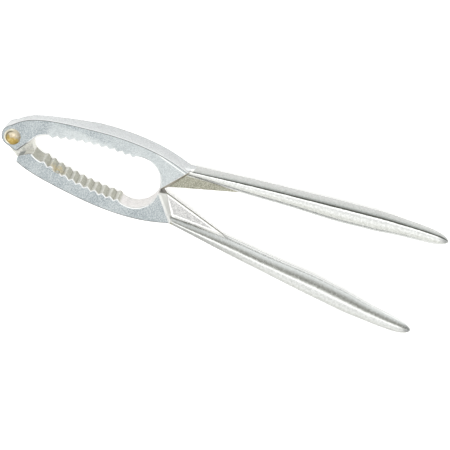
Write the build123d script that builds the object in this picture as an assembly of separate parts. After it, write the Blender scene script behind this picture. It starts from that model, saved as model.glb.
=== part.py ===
from build123d import *
import math
import os

# Two-lever nutcracker: two cast arms in a half-lap joint on one rivet.
# Frame: mm, origin on the pivot axis at the resting face, +X along the bisector
# towards the handle tips, +Y towards the upper arm, +Z up out of the resting face.

# Driving dimensions
THICK = 12.0  # head plate, front face to back face
MID = THICK / 2  # height of the mid plane that both levers share
LAP_GAP = 0.1  # play between the two lapped lugs
EAR_R = 4.75  # round end of each lever
EAR_X = -0.1  # its centre, a little off the pivot axis
EAR_Y = 0.45
LUG_CORNER = (3.4, -5.65)  # corner of the lug on the side of the other lever
EDGE = 0.5  # cast edge rounding on the face outlines

RIVET_SHANK_R = 2.45
BORE_R = 2.50  # running fit in the lower arm
HEAD_R = 3.5  # rivet's domed head
HEAD_H = 1.5
SINK_R = 3.3  # rivet's flush back head
SINK_H = 1.0
SINK_PLAY = 0.05  # running clearance of the back head in the lower arm

TEETH = 11
TOOTH_PITCH = 3.43
TOOTH_H = 1.2  # before the tips and valleys are rounded
TOOTH_TIP_R = 0.8
TOOTH_ROOT_R = 0.45
TOOTH_LEAN = 0.42  # share of the pitch on the steeper flank, towards the pivot
TIP_ARC_R = 118.0  # arc through the tooth tips
TIP_ARC_X = 47.5
TIP_ARC_TOP = 9.55
TOOTH_FIRST_X = 15.9

BOWL_R = 10.35  # plain hollow between the last tooth and the neck
BOWL_X = 55.0
BOWL_Y = 0.9

NECK_TIP = (66.0, 0.55)  # sharp inner point where the levers nearly meet
WEB_END = (97.0, 9.9)  # where the inner web runs out into the handle
WEB_SLOPE = 0.38  # rise of each web face per mm away from its sharp edge
BEVEL_FROM = (66.2, 1.9)  # line where the flat head face ends
BEVEL_TO = (73.9, 11.6)
BEVEL_SLOPE = 2.4  # drop per mm beyond that line

RELIEF_AT = (5.0, 10.5, 6.2)  # slope that thins the back of the upper arm towards its lug
RELIEF_FACING = (-0.26, 0.79, -0.55)

SCOOP_AT = (22.4, 5.2)  # hollow across the third and fourth teeth of the lower arm
SCOOP_R = 3.2
SCOOP_LIFT = 0.5  # its centre above the front face

# Handle stations: x, middle of the width, half width, half thickness, before the tip is rounded
HANDLE = [
    (71.0, 10.95, 2.0, 4.3),
    (84.0, 12.2, 2.6, 4.2),
    (97.0, 13.4, 3.35, 4.1),
    (112.0, 14.95, 3.75, 4.1),
    (130.0, 16.65, 4.3, 4.15),
    (144.0, 17.95, 4.65, 4.1),
    (158.0, 19.6, 4.35, 3.8),
    (170.0, 20.75, 3.7, 3.3),
    (180.0, 21.4, 3.15, 2.75),
    (187.2, 21.6, 2.9, 2.4),
]
TIP_ROUND = 9.0  # length over which the tip closes, as a quarter ellipse
SECTIONS = 12
OUTER_SQUARE = 0.70  # fullness of the outer shoulder; 0.55 would be a plain ellipse
INNER_SQUARE = 0.41  # fullness of the flatter inner flank
CROWN_SHARE = 0.40  # crown line, as a share of the width in from the outer edge


def tip_arc(x, drop=0.0):
    """Height of the tooth-tip arc at x, or of the valley arc above it."""
    r = TIP_ARC_R + drop
    return TIP_ARC_TOP - TIP_ARC_R + math.sqrt(r * r - (x - TIP_ARC_X) ** 2)


def tooth_points():
    """Valleys and tips in turn, from the pivot end to the bowl."""
    points = []
    for n in range(TEETH):
        tip_x = TOOTH_FIRST_X + n * TOOTH_PITCH
        valley_x = tip_x - TOOTH_PITCH * TOOTH_LEAN
        points.append((valley_x, tip_arc(valley_x, TOOTH_H)))
        points.append((tip_x, tip_arc(tip_x)))
    return points


def bowl_height(x):
    return BOWL_Y + math.sqrt(BOWL_R**2 - (x - BOWL_X) ** 2)


def ear_point(degrees):
    turn = math.radians(degrees)
    return (EAR_X + EAR_R * math.cos(turn), EAR_Y + EAR_R * math.sin(turn))


def head_outline():
    """One lever's ear and toothed head as a closed face on the XY plane."""
    teeth = tooth_points()
    bowl_start_x = teeth[-1][0] + TOOTH_PITCH * 0.36
    bowl_start = (bowl_start_x, bowl_height(bowl_start_x))
    bowl_end = (65.2, 1.5)
    ear_start = 125  # degrees, where the outer edge runs into the round end
    reach_x, reach_y = LUG_CORNER[0] - EAR_X, LUG_CORNER[1] - EAR_Y
    touch = math.acos(EAR_R / math.hypot(reach_x, reach_y))
    ear_end = math.degrees(math.atan2(reach_y, reach_x) - touch) + 360
    ear_top = ear_point(ear_start)
    with BuildSketch() as sketch:
        with BuildLine():
            CenterArc((EAR_X, EAR_Y), EAR_R, ear_start, ear_end - ear_start)
            Line(ear_point(ear_end), LUG_CORNER)
            Spline(LUG_CORNER, (7.3, 0.2), (10.2, 4.3), teeth[0], tangents=((0.5, 0.9), (0.9, 0.2)))
            Polyline(*teeth, bowl_start)
            ThreePointArc(bowl_start, (60.4, bowl_height(60.4)), bowl_end)
            Polyline(bowl_end, NECK_TIP, (70.5, 1.95), (77.0, 10.6), (74.4, 12.1))
            Spline(
                (74.4, 12.1), (70.2, 13.3), (62.0, 15.2), (51.0, 16.25), (40.0, 16.1),
                (25.7, 14.6), (13.1, 12.55), (4.9, 9.95), (0.7, 7.4), ear_top,
                tangents=((-1, 0.25), (-0.82, -0.57)),
            )
        make_face()
        inner = sketch.vertices().filter_by_position(Axis.X, teeth[0][0] - 0.1, bowl_start_x + 0.1)
        inner = [v for v in inner if v.Y < 11.4]
        fillet([v for v in inner if abs(v.Y - tip_arc(v.X)) < 0.01], TOOTH_TIP_R)
        fillet([v for v in inner if abs(v.Y - tip_arc(v.X)) > 0.5], TOOTH_ROOT_R)
        fillet(sketch.vertices().sort_by_distance((*LUG_CORNER, 0))[0], 1.2)
        fillet(sketch.vertices().sort_by_distance((*bowl_end, 0))[0], 0.6)
    return sketch.sketch


def head_block():
    """Head plate with its rounded face edges, bevelled down to the handle on both faces."""
    plate = extrude(head_outline(), THICK)
    rims = plate.edges().group_by(Axis.Z)
    plate = fillet(rims[-1] + rims[0], EDGE)
    along = Vector(BEVEL_TO[0] - BEVEL_FROM[0], BEVEL_TO[1] - BEVEL_FROM[1], 0).normalized()
    out = Vector(along.Y, -along.X, 0)
    tilt = Vector(out.X * BEVEL_SLOPE, out.Y * BEVEL_SLOPE, 1).normalized()
    for sign in (1, -1):
        at = (BEVEL_FROM[0], BEVEL_FROM[1], MID + sign * MID)
        side = Plane(origin=at, z_dir=(tilt.X, tilt.Y, sign * tilt.Z))
        plate = plate - side * Box(90, 90, 30, align=(Align.CENTER, Align.CENTER, Align.MIN))
    ends = plate.edges().filter_by(GeomType.LINE)
    ends = [e for e in ends if e.length > 8 and abs(abs(e.center().Z - MID) - MID) < 0.01]
    return fillet(ends, 0.3)


def station(x, column):
    """Smooth value of one column of the handle table at x."""
    rows = HANDLE
    i = max(k for k in range(len(rows) - 1) if rows[k][0] <= x)
    x0, x1 = rows[i][0], rows[i + 1][0]
    v0, v1 = rows[i][column], rows[i + 1][column]
    before, after = max(i - 1, 0), min(i + 2, len(rows) - 1)
    slope0 = (v1 - rows[before][column]) / (x1 - rows[before][0])
    slope1 = (rows[after][column] - v0) / (rows[after][0] - x0)
    t = (x - x0) / (x1 - x0)
    ease = t * t * (3 - 2 * t)
    lead = (slope0 * t * (1 - t) ** 2 - slope1 * t * t * (1 - t)) * (x1 - x0)
    return v0 + (v1 - v0) * ease + lead


def quadrant(width, height, fullness):
    """Cubic curve from the side of the section to its crown."""
    return Bezier((width, 0), (width, fullness * height), (fullness * width, height), (0, height))


def handle_section(x):
    """Handle section with a fuller outer shoulder, and its crown nearer that edge."""
    tip_x = HANDLE[-1][0]
    into_tip = max(0.0, (x - tip_x + TIP_ROUND) / TIP_ROUND)
    closing = math.sqrt(1 - into_tip**2)
    half_width = station(x, 2) * closing
    half = station(x, 3) * closing
    crown = station(x, 1) + half_width * (1 - 2 * CROWN_SHARE)
    a_out = 2 * half_width * CROWN_SHARE
    a_in = 2 * half_width - a_out
    plane = Plane(origin=(x, crown, MID), x_dir=(0, 1, 0), z_dir=(1, 0, 0))
    with BuildSketch(plane) as sketch:
        with BuildLine():
            quadrant(a_out, half, OUTER_SQUARE)
            quadrant(-a_in, half, INNER_SQUARE)
            quadrant(-a_in, -half, INNER_SQUARE)
            quadrant(a_out, -half, OUTER_SQUARE)
        make_face()
    return sketch.sketch


def handle():
    """Loft whose stations crowd together towards the tip, so that it closes roundly."""
    start = HANDLE[0][0]
    length = HANDLE[-1][0] - start
    turns = [0.49 * math.pi * n / SECTIONS for n in range(SECTIONS + 1)]
    return loft([handle_section(start + length * math.sin(turn)) for turn in turns])


def web():
    """Wedge with a sharp inner edge that joins the neck point to the handle."""
    dx = WEB_END[0] - NECK_TIP[0]
    dy = WEB_END[1] - NECK_TIP[1]
    angle = math.degrees(math.atan2(dy, dx))
    length = math.hypot(dx, dy)
    reach = 9.0
    blunt = 0.25
    across = Plane(
        origin=(NECK_TIP[0], NECK_TIP[1], MID),
        x_dir=(-math.sin(math.radians(angle)), math.cos(math.radians(angle)), 0),
        z_dir=(math.cos(math.radians(angle)), math.sin(math.radians(angle)), 0),
    )
    top = blunt + WEB_SLOPE * reach
    with BuildSketch(across) as sketch:
        Polygon((0, -blunt), (reach, -top), (reach, top), (0, blunt), align=None)
    wedge = extrude(sketch.sketch, length + 1.5)
    with BuildSketch() as limit:
        Polygon(
            NECK_TIP, (98.6, 10.38), (97.0, 11.6), (86.0, 11.2), (77.0, 10.6), (70.0, 9.6), (67.2, 2.6),
            align=None,
        )
    return wedge & extrude(limit.sketch, THICK)


def lever():
    """The plain lever before its lugs are cut, above the bisector."""
    return (head_block() + web() + handle()).clean()


def pivot_zone(low, high):
    """Room for the other lever's lug between two heights, up to the shoulder line."""
    with BuildSketch(Plane.XY.offset(low)) as sketch:
        Polygon(
            (-9, -9), (10.2, -9), (10.2, 4.2), (8.6, 4.7), (4.75, 7.3), (4.75, 12), (-9, 12),
            align=None,
        )
        fillet(sketch.vertices().sort_by_distance((4.75, 7.3, low))[0], 0.5)
    return extrude(sketch.sketch, high - low)


def make_upper(blank):
    """Front lug; the rivet is fixed in it."""
    back = pivot_zone(-1, MID + LAP_GAP / 2)
    shank = Cylinder(RIVET_SHANK_R, THICK, align=(Align.CENTER, Align.CENTER, Align.MIN))
    slope = Plane(origin=RELIEF_AT, z_dir=RELIEF_FACING)
    relief = slope * Box(90, 90, 20, align=(Align.CENTER, Align.CENTER, Align.MIN))
    return blank - back - shank - relief


def make_lower(blank):
    """Back lug; the rivet turns in its bore and countersink."""
    arm = mirror(blank, about=Plane.XZ)
    front = mirror(pivot_zone(MID - LAP_GAP / 2, THICK + 1), about=Plane.XZ)
    bore = Cylinder(BORE_R, THICK, align=(Align.CENTER, Align.CENTER, Align.MIN))
    sink_r = SINK_R + SINK_PLAY
    sink = Cone(sink_r, BORE_R, SINK_H + SINK_PLAY, align=(Align.CENTER, Align.CENTER, Align.MIN))
    scoop = Pos(SCOOP_AT[0], -SCOOP_AT[1], THICK + SCOOP_LIFT) * Sphere(SCOOP_R)
    return arm - front - bore - sink - scoop


def make_rivet():
    """Domed head on the front, plain shank, flush countersunk head on the back."""
    dome_r = (HEAD_R**2 + HEAD_H**2) / (2 * HEAD_H)
    with BuildSketch(Plane.XZ) as sketch:
        with BuildLine():
            Line((0, 0), (SINK_R, 0))
            Line((SINK_R, 0), (RIVET_SHANK_R, SINK_H))
            Line((RIVET_SHANK_R, SINK_H), (RIVET_SHANK_R, THICK))
            Line((RIVET_SHANK_R, THICK), (HEAD_R, THICK))
            RadiusArc((HEAD_R, THICK), (0, THICK + HEAD_H), -dome_r)
            Line((0, THICK + HEAD_H), (0, 0))
        make_face()
    return revolve(sketch.sketch, Axis.Z)


os.makedirs("parts", exist_ok=True)
blank = lever()
nodes = {
    "upper_arm": make_upper(blank),
    "lower_arm": make_lower(blank),
    "pivot_rivet": make_rivet(),
}
for name, shape in nodes.items():
    export_step(shape, f"parts/{name}.step")
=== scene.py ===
import math
import bpy
from mathutils import Matrix, Vector


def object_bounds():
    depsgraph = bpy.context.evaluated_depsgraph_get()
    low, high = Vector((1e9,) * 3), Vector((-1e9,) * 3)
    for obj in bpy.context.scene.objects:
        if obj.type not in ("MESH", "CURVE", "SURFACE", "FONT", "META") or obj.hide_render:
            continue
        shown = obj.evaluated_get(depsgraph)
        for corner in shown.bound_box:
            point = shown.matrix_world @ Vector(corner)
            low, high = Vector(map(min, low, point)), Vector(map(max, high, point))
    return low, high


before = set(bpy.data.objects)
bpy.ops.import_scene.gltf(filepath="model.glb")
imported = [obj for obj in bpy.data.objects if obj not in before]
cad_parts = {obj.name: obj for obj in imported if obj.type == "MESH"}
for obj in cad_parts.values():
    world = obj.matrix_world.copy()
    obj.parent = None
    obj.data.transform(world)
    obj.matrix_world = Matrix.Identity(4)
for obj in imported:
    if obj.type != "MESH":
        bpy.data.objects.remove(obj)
BOUNDS_AT_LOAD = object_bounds()

# Places are in metres, in the frame's own axes: X runs from the pivot to the handles' tips, the upper
# lever lies at +Y and the lower one at -Y, and +Z is the front. Up and under mean +Y and -Y, as the tool
# hangs in the photo.

# Lines in a lever's plan, each through two points (X, distance from the middle line). Both levers share
# them, because each is nearly the other one turned over.
BEVEL_TOP = (0.0662, 0.0019), (0.0739, 0.0116)
POLISH_START = (0.0669, 0.0013), (0.0746, 0.0110)
WEB_EDGE = (0.0660, 0.00055), (0.0970, 0.0099)
WEB_RIB = (0.0740, 0.0096), (0.0990, 0.0108)
EAR_BACK = (0.0160, 0.0106), (-0.0060, -0.0010)
JAW_BACK = (0.0, 0.0114), (-0.0100, 0.0114)
NECK_BACK = (0.0620, 0.0152), (0.0735, 0.0119)

# Where one finish gives way to the next: the start of each change and its end.
UPPER_LEVER_Y = -0.001, 0.001
LOWER_LAP_Y = -0.001, 0.0
PAST_MOUTH_Y = 0.0030, 0.0070
NEAR_BACK_Y = 0.0108, 0.0138
LAP_FRONT_Z = 0.0106, 0.0112
LAP_END_X = 0.0100, 0.0106
FIRST_TEETH_X = 0.011, 0.016
LAST_TEETH_X = 0.036, 0.052
EAR_END_X = 0.0150, 0.0170
UPPER_NECK_X = 0.015, 0.060
BOWL_START_X = 0.0505, 0.0525
GLINT_START_X = 0.057, 0.063
WEB_END_X = 0.096, 0.101
HANDLE_RIM_X = 0.080, 0.112
HANDLE_SHADE_X = 0.080, 0.125

# Middle of the shallow hollow across the lower lever's teeth.
HOLLOW = (0.0222, -0.0062, 0.0088)

# Masks by how squarely a face looks to the front or the back, where 0 is an upright wall and 1 a flat face.
SLOPES = [(0.5, 0.0), (0.7, 1.0)]
STEEP_SLOPES = [(0.20, 0.0), (0.30, 1.0), (0.50, 1.0), (0.62, 0.0)]
WALLS = [(0.10, 1.0), (0.20, 0.0)]
EDGES = [(0.15, 0.0), (0.36, 1.0)]
FLATS = [(0.985, 0.0), (0.996, 1.0)]
NEARLY_FLAT = [(0.84, 0.0), (0.90, 1.0), (0.985, 1.0), (0.996, 0.0)]

# Single colours, as linear red, green and blue. The mottled ones are in their own functions.
PALE_SKIN = (0.55, 0.57, 0.57)
# Painted glint by the upper lever's neck.
NECK_PAINTED_GLINT = (0.66, 0.67, 0.66)
# Painted highlights on the levers' rounded edges, and painted shade on the lower lever's edges that face
# down.
EDGE_HIGHLIGHT_UPPER = (0.63, 0.64, 0.65)
EDGE_HIGHLIGHT_LOWER = (0.76, 0.77, 0.77)
UNDER_EDGE_SHADE = (0.16, 0.165, 0.16)
# Painted shade in a thin line along the upper lever's outer edge.
OUTER_EDGE_SHADE = (0.13, 0.14, 0.14)
# Painted light on the wall of the lower lever's lap.
LAP_WALL_LIT = (0.92, 0.91, 0.87)
OCHRE_TINT = (0.56, 0.46, 0.24)
# Painted light on the web's bevel where it is turned up, and painted shade where it is turned under.
BEVEL_LIT = (0.90, 0.90, 0.89)
BEVEL_SHADED = (0.42, 0.38, 0.31)
POCKET_DULL = (0.68, 0.68, 0.66)
# Painted highlights and painted shade in lines on the lower lever's web.
POCKET_HIGHLIGHT = (0.76, 0.76, 0.75)
POCKET_SHADE = (0.16, 0.16, 0.14)
RIB_WALL = (0.24, 0.23, 0.21)
# Painted shade in the handle's crease and painted light on its rim.
HANDLE_CREASE_SHADE = (0.045, 0.05, 0.042)
HANDLE_RIM_LIGHT = (0.85, 0.86, 0.86)
BLACK = (0.0, 0.0, 0.0)
# Painted shade at the rivet's centre, against the highlight there.
BRASS_CENTRE_SHADE = (0.20, 0.15, 0.08)
BRASS_RING = (0.17, 0.14, 0.08)
# Painted highlight on the rivet's rim.
BRASS_RIM_HIGHLIGHT = (0.86, 0.82, 0.68)

# The studio's light around the tool's long axis: degrees from straight above, towards the upper lever when
# positive, and colour. The overhead light ends sharply at 20 degrees. Past it there is a darker gap.
STUDIO_LIGHT = [
    (-100, (1.62, 1.62, 1.55)),
    (-62, (1.64, 1.64, 1.56)),
    (-48, (2.00, 2.00, 1.96)),
    (-34, (2.00, 2.00, 1.96)),
    (-27, (1.76, 1.76, 1.73)),
    (-14, (1.75, 1.75, 1.73)),
    (2, (1.75, 1.75, 1.73)),
    (9, (2.15, 2.15, 2.10)),
    (20, (2.15, 2.15, 2.10)),
    (23, (0.85, 0.85, 0.78)),
    (40, (0.65, 0.65, 0.59)),
    (54, (1.05, 1.06, 1.02)),
    (66, (1.40, 1.43, 1.41)),
    (95, (1.45, 1.50, 1.50)),
]
STUDIO_ENDS = (0.45, 0.46, 0.46)

# A colour ramp is read in 256 steps, too few for millimetres in metres, so its distances are in centimetres.
CM_IN_METRE = 100.0


# ---------------------------------------------------------------- node helpers
def new_material(name):
    """A material with a Principled shader alone."""
    material = bpy.data.materials.new(name)
    material.use_nodes = True
    tree = material.node_tree
    tree.nodes.clear()
    output = tree.nodes.new("ShaderNodeOutputMaterial")
    shader = tree.nodes.new("ShaderNodeBsdfPrincipled")
    tree.links.new(shader.outputs[0], output.inputs[0])
    return material, tree, shader


def place_in(tree):
    """Where the shaded point is, in its object's own axes."""
    return tree.nodes.new("ShaderNodeTexCoord").outputs["Object"]


def feed(value, socket):
    """Link another socket to this one, or set it to a number or a colour."""
    if isinstance(value, bpy.types.NodeSocket):
        socket.id_data.links.new(value, socket)
    elif isinstance(value, tuple):
        socket.default_value = (*value, 1)
    else:
        socket.default_value = value


def node_for(kind, *values):
    """A new node in the tree that its values come from."""
    tree = next(value.id_data for value in values if isinstance(value, bpy.types.NodeSocket))
    return tree.nodes.new(kind)


def noise(vector, scale, detail, rough):
    node = node_for("ShaderNodeTexNoise", vector)
    node.inputs["Scale"].default_value = scale
    node.inputs["Detail"].default_value = detail
    node.inputs["Roughness"].default_value = rough
    feed(vector, node.inputs["Vector"])
    return node.outputs["Fac"]


def ramp(value, stops):
    """Colour ramp from (position, grey or rgb) stops."""
    node = node_for("ShaderNodeValToRGB", value)
    elements = node.color_ramp.elements
    while len(elements) > 1:
        elements.remove(elements[-1])
    for n, (position, colour) in enumerate(stops):
        if not isinstance(colour, tuple):
            colour = (colour, colour, colour)
        element = elements[0] if n == 0 else elements.new(position)
        element.position = position
        element.color = (*colour, 1)
    feed(value, node.inputs["Fac"])
    return node.outputs["Color"]


def mix(factor, a, b):
    """Colour mix; each of a and b may be a socket or a colour."""
    node = node_for("ShaderNodeMix", factor, a, b)
    node.data_type = "RGBA"
    for name, value in (("Factor", factor), ("A", a), ("B", b)):
        feed(value, node.inputs[name])
    return node.outputs["Result"]


def math_node(operation, *values):
    """Math node; each value may be a socket or a number."""
    node = node_for("ShaderNodeMath", *values)
    node.operation = operation
    for socket, value in zip(node.inputs, values):
        feed(value, socket)
    return node.outputs[0]


def product(first, *others):
    """Sockets and numbers multiplied together, which for masks is where all of them hold."""
    for other in others:
        first = math_node("MULTIPLY", first, other)
    return first


def either(a, b):
    """Where one mask or the other holds."""
    return math_node("MAXIMUM", a, b)


def inverse(mask):
    """Where a mask doesn't hold."""
    return math_node("SUBTRACT", 1.0, mask)


def between(mask, low, high):
    """A number that goes from low, where a mask is 0, to high, where it is 1."""
    return math_node("MULTIPLY_ADD", mask, high - low, low)


def fraction(value, low, high, interpolation="LINEAR"):
    """0 below low and 1 above high, and in proportion between them unless another shape is asked for."""
    node = node_for("ShaderNodeMapRange", value)
    node.interpolation_type = interpolation
    node.inputs["From Min"].default_value = low
    node.inputs["From Max"].default_value = high
    feed(value, node.inputs["Value"])
    return node.outputs["Result"]


def axes(vector):
    """The X, Y and Z of a vector, by name."""
    node = node_for("ShaderNodeSeparateXYZ", vector)
    feed(vector, node.inputs[0])
    return node.outputs


def along(vector, axis, low, high):
    """0 below low and 1 above high on one axis of a place or a direction, with a soft step."""
    return fraction(axes(vector)[axis], low, high, "SMOOTHSTEP")


def distance_cm(vector, point):
    """Distance of a place from one point."""
    node = node_for("ShaderNodeVectorMath", vector)
    node.operation = "DISTANCE"
    feed(vector, node.inputs[0])
    node.inputs[1].default_value = point
    return product(node.outputs["Value"], CM_IN_METRE)


def beyond_line(plan, line, soft):
    """0 on the left of a line in the plan and 1 on its right, over a soft width."""
    x, y = plan
    start, end = line
    dx, dy = end[0] - start[0], end[1] - start[1]
    reach = math.hypot(dx, dy) * soft
    across = math_node("MULTIPLY_ADD", x, dy / reach, (start[1] * dx - start[0] * dy) / reach + 0.5)
    across = math_node("MULTIPLY_ADD", y, -dx / reach, across)
    across.node.use_clamp = True
    return across


def shifted(line, by):
    """A line in the plan, moved to its own right."""
    start, end = line
    dx, dy = end[0] - start[0], end[1] - start[1]
    length = math.hypot(dx, dy)
    right = dy / length * by, -dx / length * by
    return (start[0] + right[0], start[1] + right[1]), (end[0] + right[0], end[1] + right[1])


def strip(plan, line, near, far, soft):
    """1 between two distances to the right of a line in the plan."""
    past_near = beyond_line(plan, shifted(line, near), soft)
    past_far = beyond_line(plan, shifted(line, far), soft)
    return math_node("SUBTRACT", past_near, past_far)


def add_bump(shader, height, strength, distance):
    node = node_for("ShaderNodeBump", height)
    feed(strength, node.inputs["Strength"])
    node.inputs["Distance"].default_value = distance
    feed(height, node.inputs["Height"])
    feed(node.outputs["Normal"], shader.inputs["Normal"])


# ---------------------------------------------------------------- cast levers
class Surface:
    """What the layers of a lever's casting share: where a point is, how it faces, its grain and its zone."""

    def __init__(self, tree):
        coords = tree.nodes.new("ShaderNodeTexCoord")
        self.place = coords.outputs["Object"]
        self.normal = coords.outputs["Normal"]
        where, way = axes(self.place), axes(self.normal)
        self.plan = where["X"], math_node("ABSOLUTE", where["Y"])
        self.facing = math_node("ABSOLUTE", way["Z"])
        self.tilt = way["Y"]

        self.speckle = noise(self.place, 2100, 2, 0.6)
        self.grain = noise(self.place, 1000, 3, 0.6)
        self.cloud = noise(self.place, 130, 3, 0.5)

        self.on_upper = along(self.place, "Y", *UPPER_LEVER_Y)
        self.turned_up = along(self.normal, "Y", -0.12, 0.12)
        self.is_flat = ramp(self.facing, FLATS)
        self.is_outer = self.outer_side()
        self.past_bevel = beyond_line(self.plan, BEVEL_TOP, soft=0.0004)
        self.inside_web = beyond_line(self.plan, WEB_RIB, soft=0.0005)
        self.on_bevel = product(self.past_bevel, ramp(self.facing, STEEP_SLOPES))
        self.on_facet = product(self.past_bevel, ramp(self.facing, SLOPES))
        self.polished = self.handle()
        self.in_recess = self.lower_lap()

    def outer_side(self):
        """The side that looks away from the mouth, on the ear and on the rest of the jaw."""
        ear = beyond_line(self.plan, EAR_BACK, soft=0.0004)
        jaw = beyond_line(self.plan, JAW_BACK, soft=0.0004)
        return mix(along(self.place, "X", *EAR_END_X), ear, jaw)

    def handle(self):
        """All beyond the neck, apart from the web."""
        off_web = either(inverse(self.inside_web), along(self.place, "X", *WEB_END_X))
        return product(beyond_line(self.plan, POLISH_START, soft=0.0004), off_web)

    def lower_lap(self):
        """The lower lever's recess under the upper one's ear, without its outer side."""
        near_pivot = inverse(along(self.place, "X", *LAP_END_X))
        below_front = inverse(along(self.place, "Z", *LAP_FRONT_Z))
        on_lower = inverse(along(self.place, "Y", *LOWER_LAP_Y))
        floor_or_inner = either(ramp(self.facing, SLOPES), inverse(self.is_outer))
        return product(near_pivot, below_front, on_lower, floor_or_inner)


def flat_colour(at):
    """Grainy flats, paler towards the upper neck and by the upper first teeth, with a painted glint at the
    neck.
    """
    flat = ramp(at.speckle, [
        (0.30, (0.165, 0.185, 0.20)), (0.5, (0.275, 0.305, 0.32)), (0.70, (0.43, 0.46, 0.47)),
    ])
    to_upper_neck = product(at.on_upper, along(at.place, "X", *UPPER_NECK_X))
    pale = math_node("MULTIPLY_ADD", to_upper_neck, 0.28, ramp(at.cloud, [(0.35, 0.0), (0.7, 0.20)]))
    inner_half = product(along(at.place, "Y", *PAST_MOUTH_Y), inverse(along(at.place, "Y", *NEAR_BACK_Y)))
    by_teeth = product(along(at.place, "X", *FIRST_TEETH_X), inverse(along(at.place, "X", *LAST_TEETH_X)))
    skin = product(inner_half, by_teeth, ramp(at.cloud, [(0.3, 0.25), (0.65, 0.75)]))
    flat = mix(either(pale, skin), flat, PALE_SKIN)
    # Painted glint in a strip beside the upper neck's back edge.
    glint = strip(at.plan, NECK_BACK, near=0.0006, far=0.0010, soft=0.0003)
    glint = product(glint, along(at.place, "X", *GLINT_START_X), at.on_upper)
    return mix(glint, flat, NECK_PAINTED_GLINT)


def wall_colour(at):
    """Upright walls: painted shade on the teeth where they look to the handles, a bowl paler with painted
    light, and a grey outer side.
    """
    teeth = ramp(at.grain, [(0.32, (0.46, 0.46, 0.42)), (0.68, (0.70, 0.70, 0.66))])
    # Painted shade on the sides of the teeth that look to the handles.
    teeth_shaded = ramp(at.grain, [(0.32, (0.28, 0.28, 0.235)), (0.68, (0.50, 0.50, 0.44))])
    # The bowl's wall, paler with painted light.
    bowl = ramp(at.grain, [(0.32, (0.60, 0.585, 0.58)), (0.68, (0.80, 0.78, 0.78))])
    outer = ramp(at.speckle, [(0.30, (0.37, 0.385, 0.395)), (0.70, (0.62, 0.63, 0.64))])
    inner = mix(along(at.normal, "X", -0.20, 0.45), teeth, teeth_shaded)
    inner = mix(along(at.place, "X", *BOWL_START_X), inner, bowl)
    return mix(at.is_outer, inner, outer)


def edge_colour(at):
    """Walls with painted highlights on their edges, painted shade under the lower lever, and a thin line of
    painted shade along the upper one's back.
    """
    # Painted highlight on the rounded edges, turned to painted shade where the lower lever's edges face
    # down.
    light_and_shade = mix(at.on_upper, EDGE_HIGHLIGHT_LOWER, EDGE_HIGHLIGHT_UPPER)
    light_and_shade = mix(product(inverse(at.on_upper), inverse(at.turned_up)), light_and_shade, UNDER_EDGE_SHADE)
    edge = mix(ramp(at.facing, EDGES), wall_colour(at), light_and_shade)
    # Painted shade in a thin line where the upper lever's outer edge rounds onto the flats.
    edge_line_shade = product(ramp(at.facing, NEARLY_FLAT), at.is_outer, at.on_upper)
    return mix(edge_line_shade, edge, OUTER_EDGE_SHADE)


def lap_colour(at):
    """The lap's floor, as bare casting, and its wall, pale with painted light."""
    floor_metal = ramp(at.grain, [(0.32, (0.42, 0.42, 0.39)), (0.68, (0.72, 0.72, 0.68))])
    return mix(ramp(at.facing, [(0.4, 0.0), (0.6, 1.0)]), LAP_WALL_LIT, floor_metal)


def facet_colour(at):
    """The web's shallow slope, warm and dark in painted shade, and lighter with painted light where it is
    turned up.
    """
    shaded = ramp(at.speckle, [
        (0.30, (0.145, 0.143, 0.115)), (0.5, (0.275, 0.272, 0.225)), (0.70, (0.46, 0.455, 0.39)),
    ])
    lit = ramp(at.speckle, [(0.32, (0.36, 0.36, 0.39)), (0.68, (0.64, 0.64, 0.68))])
    return mix(product(at.turned_up, 0.60), shaded, lit)


def tint_hollow(at, head):
    """Ochre tint in the hollow across the lower lever's teeth."""
    in_hollow = ramp(distance_cm(at.place, HOLLOW), [(0.22, 0.9), (0.48, 0.0)])
    tinted = product(in_hollow, inverse(at.is_flat), ramp(at.grain, [(0.40, 0.0), (0.55, 0.9)]))
    return mix(tinted, head, OCHRE_TINT)


def line_pocket(at, head):
    """The pocket of the lower lever's web: painted highlights on its borders, a dull step and painted shade
    at its sharp edge.
    """
    # Painted highlights along the pocket's borders.
    bright = either(strip(at.plan, BEVEL_TOP, near=0.0017, far=0.0023, soft=0.0003),
                    strip(at.plan, WEB_EDGE, near=-0.0009, far=-0.0004, soft=0.0003))
    bright = either(bright, strip(at.plan, WEB_RIB, near=0.0004, far=0.0008, soft=0.0003))
    dull = strip(at.plan, BEVEL_TOP, near=0.0006, far=0.0017, soft=0.0003)
    # Painted shade along the web's sharp edge.
    dark = strip(at.plan, WEB_EDGE, near=-0.0003, far=0.0010, soft=0.0002)
    in_pocket = product(at.turned_up, either(at.on_facet, at.on_bevel))
    for line, colour in ((dull, POCKET_DULL), (bright, POCKET_HIGHLIGHT), (dark, POCKET_SHADE)):
        head = mix(product(line, in_pocket), head, colour)
    return head


def head_colour(at):
    """The head and the web, each layer over the one before."""
    head = mix(at.is_flat, edge_colour(at), flat_colour(at))
    head = mix(at.in_recess, head, lap_colour(at))
    head = tint_hollow(at, head)
    # Painted light on the turned-up bevel and painted shade on the turned-under one.
    head = mix(at.on_bevel, head, mix(at.turned_up, BEVEL_SHADED, BEVEL_LIT))
    head = mix(at.on_facet, head, facet_colour(at))
    head = line_pocket(at, head)
    on_rib = product(at.past_bevel, at.inside_web, ramp(at.facing, WALLS))
    return mix(on_rib, head, RIB_WALL)


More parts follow.
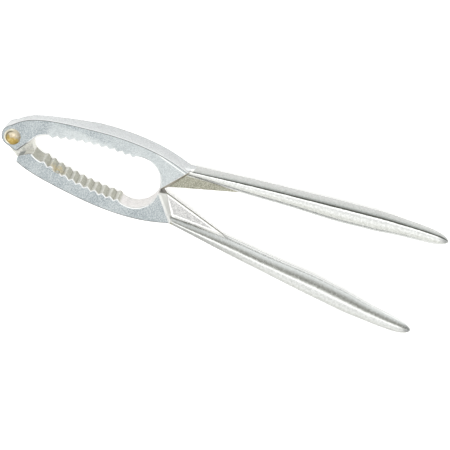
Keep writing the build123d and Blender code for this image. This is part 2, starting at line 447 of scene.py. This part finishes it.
def handle_colour(at, sheen, crease, rim, underside):
    """Slightly green handle, with painted shade in its crease and on its underside, and painted light on a
    rim beside the crease.
    """
    low, high = 0.88 * sheen, 1.12 * sheen
    smooth = ramp(at.grain, [
        (0.32, (low * 0.985, low, low * 0.98)), (0.68, (high * 0.985, high, high * 0.99)),
    ])
    in_crease = ramp(at.tilt, [
        (0.29, 0.0), (0.36, 1.0), (0.45, 1.0), (0.60, 0.55), (0.80, 0.32), (0.92, 0.24), (0.99, 0.06),
    ])
    # Painted shade in the crease.
    smooth = mix(product(in_crease, crease), smooth, HANDLE_CREASE_SHADE)
    at_rim = ramp(at.tilt, [(0.52, 0.0), (0.72, 0.55), (0.86, 1.0), (0.94, 0.85), (0.99, 0.1)])
    at_rim = product(at_rim, along(at.place, "X", *HANDLE_RIM_X), rim)
    # Painted light on the rim beside the crease.
    smooth = mix(at_rim, smooth, HANDLE_RIM_LIGHT)

    # Painted shade on the underside, heavier at the neck than further out, and more where a rimmed handle
    # turns down.
    at_neck, further_out = underside
    shade = between(along(at.place, "X", *HANDLE_SHADE_X), 1.0 - at_neck, 1.0 - further_out)
    shade = product(inverse(at.turned_up), shade)
    turned_under = ramp(product(at.tilt, -1.0), [(0.70, 0.0), (0.88, 0.5), (0.97, 1.0)])
    shade = math_node("MULTIPLY_ADD", turned_under, 0.8 * rim, shade)
    return mix(shade, smooth, BLACK)


def cast_metal(name, sheen, scuff, crease, rim, underside):
    """Satin die casting with a handle polished by the hand.

    sheen is the handle's brightness, scuff scales its roughness, and crease and rim are how strong its
    painted shade in the crease and painted light on the rim are. underside is the share of brightness that
    its underside keeps under painted shade, at the neck and further out.
    """
    material, tree, shader = new_material(name)
    at = Surface(tree)
    handle = handle_colour(at, sheen, crease, rim, underside)
    feed(mix(at.polished, head_colour(at), handle), shader.inputs["Base Color"])

    cast_rough = ramp(at.grain, [(0.3, 0.36), (0.7, 0.48)])
    smooth_rough = ramp(at.grain, [(0.3, 0.13 * scuff), (0.7, 0.21 * scuff)])
    feed(mix(at.polished, cast_rough, smooth_rough), shader.inputs["Roughness"])

    upturned_bevel = product(at.on_bevel, at.turned_up, inverse(at.polished))
    satin = either(upturned_bevel, at.in_recess)
    feed(between(satin, 1.0, 0.25), shader.inputs["Metallic"])

    relief = mix(at.polished, at.speckle, at.grain)
    add_bump(shader, relief, strength=between(at.polished, 0.42, 0.12), distance=0.00010)
    return material


# ---------------------------------------------------------------- rivet
def brass():
    """Brass in painted light and shade: pale above, gold below, a painted rim highlight, a shaded centre and
    a darker ring.
    """
    material, tree, shader = new_material("rivet_brass")
    place = place_in(tree)
    x, y = axes(place)["X"], axes(place)["Y"]
    blotch = noise(place, 520, 4, 0.6)
    paler_per_metre = 230.0
    # Painted light and shade: paler towards the upper lever and gold below, broken up by blotches.
    light_and_shade = math_node("MULTIPLY_ADD", y, paler_per_metre, 0.5)
    light_and_shade = math_node("ADD", light_and_shade, between(blotch, -1.1, 1.1))
    colour = ramp(light_and_shade, [
        (0.12, (0.30, 0.215, 0.065)), (0.42, (0.48, 0.365, 0.14)), (0.52, (0.37, 0.315, 0.22)),
        (0.90, (0.56, 0.50, 0.39)),
    ])
    square = math_node("MULTIPLY_ADD", y, y, product(x, x))
    radius_cm = product(math_node("SQRT", square), CM_IN_METRE)
    # Painted shade at the centre, against the highlight there.
    centre_shade = ramp(radius_cm, [(0.02, 0.40), (0.14, 0.0)])
    colour = mix(centre_shade, colour, BRASS_CENTRE_SHADE)
    away_from_handles = inverse(along(place, "X", -0.0012, 0.0004))
    ring = ramp(radius_cm, [(0.21, 0.0), (0.245, 0.75), (0.265, 0.75), (0.29, 0.0)])
    colour = mix(product(ring, away_from_handles), colour, BRASS_RING)
    # Painted highlight on the rim, on the side away from the handles.
    rim = ramp(radius_cm, [(0.275, 0.0), (0.30, 1.0)])
    colour = mix(product(rim, away_from_handles), colour, BRASS_RIM_HIGHLIGHT)
    feed(colour, shader.inputs["Base Color"])
    feed(ramp(blotch, [(0.3, 0.46), (0.7, 0.34)]), shader.inputs["Roughness"])
    shader.inputs["Metallic"].default_value = 1.0
    add_bump(shader, blotch, strength=0.35, distance=0.0003)
    return material


def dress_nodes():
    """Put a material on each CAD node."""
    # crease, rim and underside set how strong each handle's painted shade and painted light are.
    finish = {
        "upper_arm": cast_metal("cast_metal_upper", sheen=0.47, scuff=1.0, crease=0.85, rim=0.0,
                                underside=(1.0, 1.0)),
        "lower_arm": cast_metal("cast_metal_lower", sheen=0.44, scuff=1.4, crease=0.17, rim=0.50,
                                underside=(0.60, 0.96)),
        "pivot_rivet": brass(),
    }
    for name, material in finish.items():
        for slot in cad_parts[name].material_slots:
            slot.material = material


# ---------------------------------------------------------------- stage, light, camera
def floor():
    """Pale matt floor, just clear of the tool's back."""
    half_width = 3.0
    clearance = 0.0002
    mesh = bpy.data.meshes.new("floor")
    corners = [(x * half_width, y * half_width, 0) for x, y in ((-1, -1), (1, -1), (1, 1), (-1, 1))]
    mesh.from_pydata(corners, [], [(0, 1, 2, 3)])
    plane = bpy.data.objects.new("floor", mesh)
    plane.location.z = BOUNDS_AT_LOAD[0].z - clearance
    bpy.context.collection.objects.link(plane)
    material, tree, shader = new_material("floor_pale")
    shade = noise(place_in(tree), 3, 2, 0.5)
    feed(ramp(shade, [(0.3, 0.93), (0.7, 0.95)]), shader.inputs["Base Color"])
    shader.inputs["Roughness"].default_value = 0.9
    shader.inputs["Specular IOR Level"].default_value = 0.1
    shader.inputs["Emission Color"].default_value = (1, 1, 1, 1)
    shader.inputs["Emission Strength"].default_value = 0.35
    mesh.materials.append(material)


def studio_world():
    """Soft light around the tool's long axis, darker towards its two ends."""
    world = bpy.data.worlds.new("studio")
    bpy.context.scene.world = world
    world.use_nodes = True
    tree = world.node_tree
    tree.nodes.clear()
    output = tree.nodes.new("ShaderNodeOutputWorld")
    background = tree.nodes.new("ShaderNodeBackground")
    tree.links.new(background.outputs[0], output.inputs[0])
    direction = axes(tree.nodes.new("ShaderNodeTexCoord").outputs["Generated"])
    lean = math_node("ARCTAN2", direction["Y"], direction["Z"])
    turn = fraction(lean, -math.pi, math.pi)
    around = ramp(turn, [((degrees + 180) / 360, colour) for degrees, colour in STUDIO_LIGHT])
    near_ends = ramp(math_node("ABSOLUTE", direction["X"]), [(0.45, 0.0), (0.70, 0.65)])
    feed(mix(near_ends, around, STUDIO_ENDS), background.inputs["Color"])
    background.inputs["Strength"].default_value = 1.0


def lamp():
    """One weak area light, high above the tool and to the upper lever's side."""
    light = bpy.data.lights.new("overhead_soft", "AREA")
    light.shape = "RECTANGLE"
    light.size = 1.4
    light.size_y = 0.5
    light.energy = 2
    holder = bpy.data.objects.new("overhead_soft", light)
    holder.location = (0.1, 0.33, 1.2)
    aim = Vector((0.1, 0, 0))
    holder.rotation_mode = "QUATERNION"
    holder.rotation_quaternion = (aim - holder.location).to_track_quat("-Z", "Y")
    bpy.context.collection.objects.link(holder)


def camera():
    """Above the tool and a little beyond the upper lever, rolled so that the handles run right and down."""
    azimuth, elevation, roll = math.radians(185.64), math.radians(70.07), math.radians(-164.9)
    aim = Vector((0.0967, -0.0060, 0.006))
    distance = 0.8067
    back = Vector((
        math.sin(azimuth) * math.cos(elevation),
        -math.cos(azimuth) * math.cos(elevation),
        math.sin(elevation),
    ))
    level_right = Vector((0, 0, 1)).cross(back).normalized()
    level_up = back.cross(level_right)
    right = level_right * math.cos(roll) + level_up * math.sin(roll)
    up = back.cross(right)
    turn = Matrix((right, up, back)).transposed()
    data = bpy.data.cameras.new("camera")
    data.sensor_width = 36
    data.lens = 152
    eye = bpy.data.objects.new("camera", data)
    eye.matrix_world = Matrix.Translation(aim + back * distance) @ turn.to_4x4()
    bpy.context.collection.objects.link(eye)
    bpy.context.scene.camera = eye


dress_nodes()
floor()
studio_world()
lamp()
camera()
bpy.context.scene.view_settings.view_transform = "Standard"
